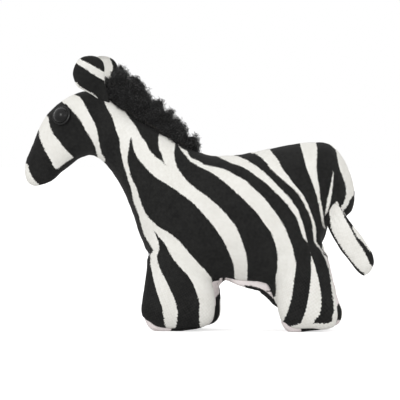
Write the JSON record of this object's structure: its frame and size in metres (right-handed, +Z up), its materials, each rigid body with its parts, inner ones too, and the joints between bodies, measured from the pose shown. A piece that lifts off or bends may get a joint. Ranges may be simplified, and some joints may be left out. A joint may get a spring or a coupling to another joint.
{
  "type": "toy zebra figure",
  "caption": "Small stuffed zebra sewn from striped cloth, with a curly fur mane, flapping ears and a loose hanging tail.",
  "frame": {"origin": "centre of the bottom of the toy's outer box, on the floor it stands on", "axes": "+X from the nose to the tail, +Y from the toy's left to its right, +Z up"},
  "size_m": [0.1984, 0.046, 0.1507],
  "materials": {
    "zebra_print_cloth": "plain weave, printed black and white",
    "underbody_cloth": "plain weave, printed black and white",
    "stuffing": "loose fibre",
    "mane_fur": "curly pile",
    "fur_backing": "knitted backing",
    "eye_plastic": "polished",
    "washer_plastic": "moulded"
  },
  "bodies": {
    "toy_body": {"left_side_panel": "zebra_print_cloth", "right_side_panel": "zebra_print_cloth", "belly_gusset": "underbody_cloth", "front_left_inner_leg": "underbody_cloth", "front_right_inner_leg": "underbody_cloth", "hind_left_inner_leg": "underbody_cloth", "hind_right_inner_leg": "underbody_cloth", "head_filling": "stuffing", "neck_filling": "stuffing", "body_filling": "stuffing", "front_left_leg_filling": "stuffing", "front_right_leg_filling": "stuffing", "hind_left_leg_filling": "stuffing", "hind_right_leg_filling": "stuffing", "left_eye": "eye_plastic", "right_eye": "eye_plastic", "left_eye_washer": "washer_plastic", "right_eye_washer": "washer_plastic", "mane_backing": "fur_backing", "mane_pile": "mane_fur", "tail_root": "zebra_print_cloth"},
    "left_ear": {"left_ear_outer": "zebra_print_cloth", "left_ear_lining": "zebra_print_cloth"},
    "right_ear": {"right_ear_outer": "zebra_print_cloth", "right_ear_lining": "zebra_print_cloth"},
    "tail": {"tail_cover": "zebra_print_cloth", "tail_filling": "stuffing"}
  },
  "joints": [
    {"name": "left_ear_flap", "type": "hinge", "parent": "toy_body", "child": "left_ear", "pos_m": [-0.05958, -0.00852, 0.12897], "axis": [0.9903, 0, 0.1392], "range_deg": [-8, 35], "stiffness_Nm_per_rad": 0.004},
    {"name": "right_ear_flap", "type": "hinge", "parent": "toy_body", "child": "right_ear", "pos_m": [-0.05958, 0.00852, 0.12897], "axis": [-0.9945, 0, 0.1045], "range_deg": [-8, 35], "stiffness_Nm_per_rad": 0.004},
    {"name": "tail_flap", "type": "hinge", "parent": "toy_body", "child": "tail", "pos_m": [0.07525, -0.01189, 0.06452], "axis": [-0.8572, 0, -0.515], "range_deg": [0, 60], "stiffness_Nm_per_rad": 0.008}
  ]
}
